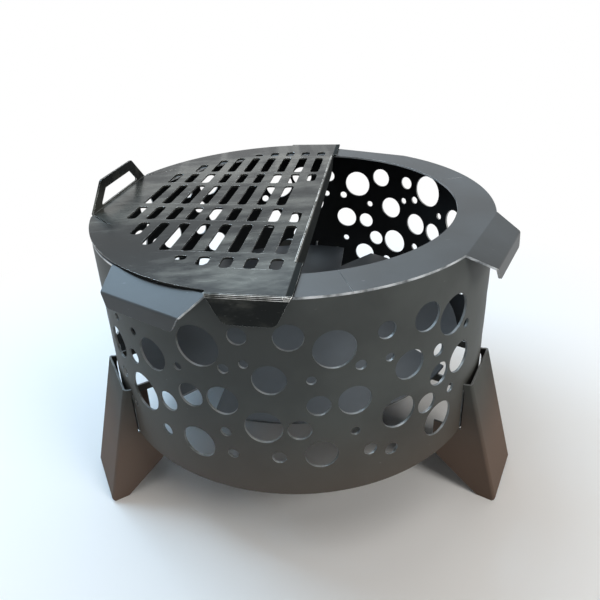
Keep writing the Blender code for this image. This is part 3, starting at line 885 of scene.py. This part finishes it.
@dataclass
class Shop:
    """Adds nodes to one material or to the world."""

    owner: Material | bpy.types.World

    def __post_init__(self) -> None:
        """Starts the nodes."""
        self.owner.use_nodes = True
        self.tree = self.owner.node_tree

    @cached_property
    def place(self) -> Wire:
        """Returns the piece's own coordinates in metres."""
        return self.node("ShaderNodeTexCoord", {}).output("Object")

    def node(self, kind: str, settings: dict[str, object], *values: object) -> Wire:
        """Adds a node with its settings first and then its sockets.

        Args:
            kind: the node's type.
            settings: properties that are set before the sockets.
            values: a wire, a number, a tuple or None for each socket in order.

        Returns:
            The node's first output.
        """
        node = self.tree.nodes.new(kind)
        for key, value in settings.items():
            setattr(node, key, value)
        for socket, value in zip([socket for socket in node.inputs if socket.enabled], values):
            self.feed(socket, value)
        return Wire(self, next(socket for socket in node.outputs if socket.enabled))

    def feed(self, socket: bpy.types.NodeSocket, value: object) -> None:
        """Links a wire to a socket, or sets its own value."""
        if isinstance(value, Wire):
            self.tree.links.new(value.socket, socket)
        elif value is not None:
            socket.default_value = value

    def given(self, name: str, sockets: dict[str, object]) -> Wire:
        """Feeds the sockets of a node that was there from the start.

        Args:
            name: the node's name.
            sockets: a value or a wire for each socket's name.

        Returns:
            The node's first output, if it has one.
        """
        node = self.tree.nodes[name]
        for socket, value in sockets.items():
            self.feed(node.inputs[socket], value)
        return Wire(self, next(iter(node.outputs), None))

    def wear(self, sockets: dict[str, object]) -> Wire:
        """Feeds the Principled shader's sockets and returns the shader."""
        return self.given("Principled BSDF", sockets)

    def noise(self, noise: Noise) -> Wire:
        """Returns a noise as values from 0 to 1."""
        place = self.place
        if noise.stretch:
            turn = (0.0, 0.0, radians(noise.turn))
            place = self.node("ShaderNodeMapping", {}, place, None, turn, noise.stretch)
        return self.node("ShaderNodeTexNoise", {}, place, noise.scale, noise.detail, noise.rough)

    def patches(self, noise: Noise) -> Wire:
        """Returns a noise as patches that rise over its span."""
        return self.noise(noise).ramp(*noise.span)

    def vector(self, operation: str, *values: object) -> Wire:
        """Joins vectors with one Vector Math node."""
        return self.node("ShaderNodeVectorMath", {"operation": operation}, *values)

    def blend(self, share: Wire, low: Wire | Colour, high: Wire | Colour) -> Wire:
        """Mixes two colours by a share."""
        return self.node("ShaderNodeMix", {"data_type": "RGBA"}, share, low, high)

    def along(self, axis: str) -> Wire:
        """Returns the position along X, Y or Z in metres."""
        return self.node("ShaderNodeSeparateXYZ", {}, self.place).output(axis)

    def radius(self) -> Wire:
        """Returns the plan distance from the drum's axis in metres."""
        flat = self.vector("MULTIPLY", self.place, (1.0, 1.0, 0.0))
        return self.vector("DISTANCE", flat, (AXIS[0] * MM, AXIS[1] * MM, 0.0))

    def bump(self, relief: Wire, depth: float, strength: float) -> Wire:
        """Turns a relief from 0 to 1, with its depth in metres, into a normal."""
        return self.node("ShaderNodeBump", {}, strength, depth, None, relief)


# Finishes


@dataclass(frozen=True)
class Coat:
    """A surface: a dark and a light tone on the faces, and on the cut edges bare metal that also serves as
    painted highlight.
    """

    name: str
    dark: Colour
    light: Colour
    bare_and_highlight: Colour
    rub_and_highlight: Noise
    rubbed_and_highlit: float
    edge_metallic: Point
    edge_roughness: Point

    def face(self, shop: Shop) -> None:
        """Dresses the material of the faces."""
        raise NotImplementedError

    def edge(self, shop: Shop) -> None:
        """Dresses the material of the cut edges, where bare steel and painted highlight show in patches.
        """
        # Painted highlight: the edges blend in patches towards a bright bare tone, partly real wear.
        rub_and_highlight = shop.patches(self.rub_and_highlight) * self.rubbed_and_highlit
        shop.wear({"Base Color": shop.blend(rub_and_highlight, self.light, self.bare_and_highlight),
                   "Metallic": rub_and_highlight.between(*self.edge_metallic),
                   "Roughness": rub_and_highlight.between(*self.edge_roughness)})

    def finish(self) -> Finish:
        """Returns the materials of the faces and the cut edges."""
        shops = [Shop(bpy.data.materials.new(self.name + part)) for part in ("", "_edge")]
        self.face(shops[0])
        self.edge(shops[1])
        return Finish(*(shop.owner for shop in shops))


@dataclass(frozen=True)
class SatinPaint(Coat):
    """Satin heat-proof paint: fine peel, soft mottling, and a painted reflection of a brown ground low
    down.

    Where a radius is given in metres, what lies inside it is painted near-black as the shade inside the
    drum.
    """

    bare_and_highlight: Colour = (0.62, 0.64, 0.65, 1.0)
    # Painted reflection: the paint turns towards this brown tone low down, standing in for a reflected
    # brown ground.
    ground_reflection: Colour = (0.084, 0.060, 0.042, 1.0)
    ground_reflection_share: float = 0.75
    ground_reflection_low: float = 0.10
    ground_reflection_top: float = 0.31
    ground_reflection_drift: float = 0.08
    roughness: float = 0.43
    cloud_rough: float = 0.10
    grain_rough: float = 0.04
    specular: float = 0.40
    scuffed: float = 0.25
    # Painted shade: the near-black colour and extra roughness inside the drum.
    interior_shade: Colour = (0.004, 0.005, 0.006, 1.0)
    interior_shade_radius: float = 0.0
    interior_shade_rough: float = 0.4
    peel_depth: float = 0.00004
    peel_strength: float = 0.5
    cloud: Noise = Noise(7.0, 4.0, 0.55, (0.35, 0.7))
    grain: Noise = Noise(900.0, 2.0, 0.6)
    drift: Noise = Noise(3.0, 2.0, 0.5)
    scuff: Noise = Noise(420.0, 1.0, 0.5, (0.72, 0.82), (0.16, 1.0, 0.8), 35.0)
    scuffed_area: Noise = Noise(16.0, 2.0, 0.5, (0.50, 0.62))
    peel: Noise = Noise(420.0, 2.0, 0.5)
    rub_and_highlight: Noise = Noise(34.0, 4.0, 0.6, (0.30, 0.60))
    rubbed_and_highlit: float = 0.9
    edge_metallic: Point = (0.0, 0.9)
    edge_roughness: Point = (0.42, 0.34)

    def face(self, shop: Shop) -> None:
        """Dresses the paint, clouded, with a painted reflection of a brown ground low down, scuffed in
        places and painted near-black as shade inside the drum.
        """
        cloud = shop.noise(self.cloud)
        # Painted reflection: towards the bottom the colour blends into the reflected brown ground's tone.
        height = shop.noise(self.drift) * self.ground_reflection_drift + shop.along("Z")
        ground_reflected = (1.0 - height.ramp(self.ground_reflection_low, self.ground_reflection_top)) * self.ground_reflection_share
        paint = shop.blend(cloud.ramp(*self.cloud.span), self.dark, self.light)
        colour = shop.blend(ground_reflected, paint, self.ground_reflection)
        if self.scuffed > 0.0:
            scuff = shop.patches(self.scuff) * shop.patches(self.scuffed_area) * self.scuffed
            colour = shop.blend(scuff, colour, self.bare_and_highlight)
        rough = self.roughness + (cloud - 0.5) * self.cloud_rough
        rough = rough + (shop.noise(self.grain) - 0.5) * self.grain_rough
        # Painted shade: inside the given radius the colour turns near-black and rougher.
        if self.interior_shade_radius > 0.0:
            outside = shop.radius().ramp(self.interior_shade_radius - MM, self.interior_shade_radius)
            colour = shop.blend(outside, self.interior_shade, colour)
            rough = rough + (1.0 - outside) * self.interior_shade_rough
        peel = shop.bump(shop.noise(self.peel), self.peel_depth, self.peel_strength)
        shop.wear({"Base Color": colour, "Roughness": rough, "Specular IOR Level": self.specular,
                   "Normal": peel})


@dataclass(frozen=True)
class MillSteel(Coat):
    """Dark mill steel: blotchy scale, faint bands and fine scratches on the plate, and painted shade that
    keeps its flange dark and dull.

    The flange lies beyond a distance in metres along the grate's azimuth.
    """

    dark: Colour = (0.012, 0.014, 0.014, 1.0)
    light: Colour = (0.104, 0.106, 0.094, 1.0)
    bare_and_highlight: Colour = (0.85, 0.86, 0.84, 1.0)
    banded: float = 0.6
    banded_from: Point = (0.02, 0.20)
    unbanded: float = 0.76
    scratched: float = 0.15
    scratch_wide: Point = (0.6, 0.8)
    roughness: float = 0.09
    blotch_rough: float = 0.26
    scratch_rough: float = 0.10
    metallic: Point = (0.12, 0.85)
    specular: float = 0.08
    flange_at: float = -0.0632
    flange_rough: float = 0.6
    relief_depth: float = 0.0012
    relief_strength: float = 0.6
    wave_share: float = 0.7
    scratch_share: float = 0.006
    blotch: Noise = Noise(8.0, 6.0, 0.66, (0.46, 0.62), (0.45, 1.0, 1.0))
    band: Noise = Noise(26.0, 2.0, 0.5, (0.50, 0.66), (1.0, 0.05, 1.0))
    scratch: Noise = Noise(700.0, 1.0, 0.5, (0.66, 0.80), (0.03, 1.0, 1.0), 40.0)
    wave: Noise = Noise(8.0, 2.0, 0.4)
    rub_and_highlight: Noise = Noise(40.0, 4.0, 0.6, (0.30, 0.60))
    rubbed_and_highlit: float = 1.0
    edge_metallic: Point = (0.9, 0.9)
    edge_roughness: Point = (0.38, 0.28)

    def face(self, shop: Shop) -> None:
        """Dresses the scaled steel, its lighter share brighter and more metallic."""
        blotch = shop.noise(self.blotch)
        scratch = shop.noise(self.scratch)
        banded = shop.patches(self.band) * shop.along("Y").ramp(*self.banded_from) * self.banded
        share = (blotch.ramp(*self.blotch.span) * self.unbanded + banded
                 + scratch.ramp(*self.scratch.span) * self.scratched)
        # Painted shade: beyond the flange's line the lighter share is taken out, so the flange stays dark.
        along = shop.vector("DOT_PRODUCT", shop.place, (*polar(1.0, GRATE_AZIMUTH), 0.0))
        unshaded_plate = along.ramp(self.flange_at - MM, self.flange_at + MM)
        share = share * unshaded_plate
        rough = (self.roughness + blotch * self.blotch_rough
                 + scratch.ramp(*self.scratch_wide) * self.scratch_rough
                 + (1.0 - unshaded_plate) * self.flange_rough)
        relief = shop.noise(self.wave) * self.wave_share + scratch * self.scratch_share
        shop.wear({"Base Color": shop.blend(share, self.dark, self.light), "Roughness": rough,
                   "Metallic": share.between(*self.metallic), "Specular IOR Level": self.specular,
                   "Normal": shop.bump(relief, self.relief_depth, self.relief_strength)})


# The studio


@dataclass(frozen=True)
class Softbox:
    """An area light that faces the object: its place and size in metres, its power and its tint."""

    name: str
    place: Spot
    size: Point
    watts: float
    tint: Spot


@dataclass(frozen=True)
class Studio:
    """A pale floor, soft lights and the photograph's view."""

    eye: Spot = (-25.1, -825.9, 699.4)
    elevation: float = 23.89
    roll: float = -3.83
    focal: float = 536.5
    centre: Point = (268.9, 235.2)
    pixels: float = 600.0
    sensor: float = 36.0
    aim: Spot = (0.0, 0.0, 0.25)
    ambient: Colour = (1.0, 0.97, 0.93, 1.0)
    ambient_strength: float = 0.06
    floor_colour: Colour = (0.90, 0.89, 0.88, 1.0)
    floor_size: float = 16.0
    floor_height: float = -0.0002
    floor_fade: Point = (0.42, 1.0)
    softboxes: tuple[Softbox, ...] = (
        Softbox("sky", (-1.5, 1.0, 2.3), (1.5, 1.5), 58.0, (0.50, 0.76, 1.0)),
        Softbox("back", (-0.5, 2.2, 2.3), (2.4, 1.0), 30.0, (0.70, 0.86, 1.0)),
        Softbox("top", (0.0, 0.2, 3.0), (4.0, 4.0), 60.0, (1.0, 0.98, 0.95)),
        Softbox("right", (1.9, -1.8, 1.9), (1.2, 0.8), 36.0, (1.0, 0.98, 0.94)),
    )

    def camera(self) -> None:
        """Adds the camera at the photograph's viewing angle."""
        data = bpy.data.cameras.new("view")
        data.sensor_width = self.sensor
        data.lens = self.focal * self.sensor / self.pixels
        data.shift_x = 0.5 - self.centre[0] / self.pixels
        data.shift_y = self.centre[1] / self.pixels - 0.5
        data.clip_start = 0.01
        camera = bpy.data.objects.new("view", data)
        bpy.context.scene.collection.objects.link(camera)
        tilt = Matrix.Rotation(radians(QUARTER - self.elevation), 4, "X")
        roll = Matrix.Rotation(radians(self.roll), 4, "Z")
        camera.matrix_world = Matrix.Translation(Vector(self.eye) * MM) @ tilt @ roll
        bpy.context.scene.camera = camera

    def hang(self, box: Softbox) -> None:
        """Adds one softbox, hidden from the camera."""
        data = bpy.data.lights.new(box.name, "AREA")
        data.shape = "RECTANGLE"
        data.size, data.size_y = box.size
        data.energy = box.watts
        data.color = box.tint
        light = bpy.data.objects.new(box.name, data)
        bpy.context.scene.collection.objects.link(light)
        light.location = box.place
        aim = Vector(self.aim) - Vector(box.place)
        light.rotation_euler = aim.to_track_quat("-Z", "Y").to_euler()
        light.visible_camera = False

    def white_to_view(self, shop: Shop, seen: Wire, lit: Wire) -> Wire:
        """Shows one shader to the camera, mirrors and glass, and another to all else.

        Args:
            shop: the material's or the world's nodes.
            seen: the shader that is seen.
            lit: the shader that lights the object.

        Returns:
            The Mix Shader that joins them.
        """
        camera = shop.node("ShaderNodeLightPath", {})
        mirrored = camera.math("MAXIMUM", camera.output("Is Glossy Ray"))
        viewed = mirrored.math("MAXIMUM", camera.output("Is Transmission Ray"))
        return shop.node("ShaderNodeMixShader", {}, viewed, lit, seen)

    def world(self) -> None:
        """Makes a surround that is seen white and lights the object faintly."""
        world = bpy.data.worlds.new("surround")
        shop = Shop(world)
        lit = shop.given("Background", {"Color": self.ambient, "Strength": self.ambient_strength})
        seen = shop.node("ShaderNodeBackground", {}, WHITE, 1.0)
        shop.given("World Output", {"Surface": self.white_to_view(shop, seen, lit)})
        bpy.context.scene.world = world

    def floor(self) -> None:
        """Lays a plain pale floor that fades into the white surround."""
        deselect()
        bpy.ops.mesh.primitive_plane_add(size=self.floor_size, location=(0.0, 0.0, self.floor_height))
        floor = bpy.context.active_object
        floor.name = "floor"
        shop = Shop(bpy.data.materials.new("pale_floor"))
        pale = shop.wear({"Base Color": self.floor_colour, "Roughness": 0.9, "Specular IOR Level": 0.0})
        white = self.white_to_view(shop, shop.node("ShaderNodeEmission", {}, WHITE, 1.0), pale)
        far = shop.vector("LENGTH", shop.place).ramp(*self.floor_fade)
        shop.given("Material Output", {"Surface": shop.node("ShaderNodeMixShader", {}, far, pale, white)})
        floor.data.materials.append(shop.owner)

    def build(self) -> None:
        """Sets up the camera, the surround, the floor and the lights."""
        self.camera()
        self.world()
        self.floor()
        for box in self.softboxes:
            self.hang(box)
        bpy.context.scene.view_settings.view_transform = "Standard"


# The fire pit


def finishes() -> dict[str, Finish]:
    """Returns each finish under the name of the pieces that wear it."""
    coats = {
        # The wall's inside is painted near-black as shade.
        "wall": SatinPaint("wall_paint", dark=(0.038, 0.042, 0.040, 1.0), light=(0.064, 0.070, 0.066, 1.0),
                           roughness=0.60, specular=0.30, rubbed_and_highlit=0.36, scuffed=0.10, interior_shade_radius=0.3035),
        "rim": SatinPaint("rim_paint", dark=(0.020, 0.025, 0.028, 1.0), light=(0.040, 0.049, 0.055, 1.0)),
        # The legs' warm brown low down is a painted reflection of a brown ground.
        "leg": SatinPaint("leg_paint", dark=(0.050, 0.052, 0.049, 1.0), light=(0.080, 0.083, 0.077, 1.0),
                          ground_reflection=(0.150, 0.104, 0.080, 1.0), ground_reflection_share=0.9, ground_reflection_top=0.26,
                          roughness=0.75, specular=0.12, rubbed_and_highlit=0.3, scuffed=0.0),
        # The tray's faint grey tone low down is the same painted reflection.
        "tray": SatinPaint("tray_paint", dark=(0.022, 0.026, 0.030, 1.0), light=(0.042, 0.048, 0.054, 1.0),
                           ground_reflection=(0.080, 0.080, 0.080, 1.0), ground_reflection_share=0.15, rubbed_and_highlit=0.3, scuffed=0.0),
        "grate": MillSteel("grate_steel"),
    }
    return {name: coat.finish() for name, coat in coats.items()}


def pieces() -> Iterator[tuple[SheetPiece, str]]:
    """Gives each sheet of the fire pit with the name of its finish."""
    paint = Slot.SATIN_PAINT
    yield DrumWall("wall", Body.DRUM, paint, "drum_wall"), "wall"
    for index in range(4):
        yield RimSegment(f"rim_{index + 1}", Body.DRUM, paint, f"rim_segment_{index + 1}",
                         azimuth=FIRST_TAB + QUARTER * index), "rim"
    for index, body in enumerate((Body.LEFT_LEG, Body.RIGHT_LEG, Body.BACK_LEG)):
        yield Leg(f"leg_{index + 1}_sheet", body, paint, f"leg_{index + 1}",
                  azimuth=FIRST_LEG + THIRD * index), "leg"
    yield FireTray("tray", Body.TRAY, Slot.TRAY_PAINT, "fire_tray"), "tray"
    yield CookingGrate("grate", Body.GRATE, Slot.MILL_STEEL, "cooking_grate", edge=0.9,
                       bare_and_highlit_cuts=False), "grate"


def main() -> None:
    """Builds the studio and every sheet of the fire pit."""
    logging.basicConfig(level=logging.INFO, format="%(message)s")
    Studio().build()
    worn_or_highlit = finishes()
    for piece, finish in pieces():
        piece.build(worn_or_highlit[finish])


if __name__ == "__main__":
    main()
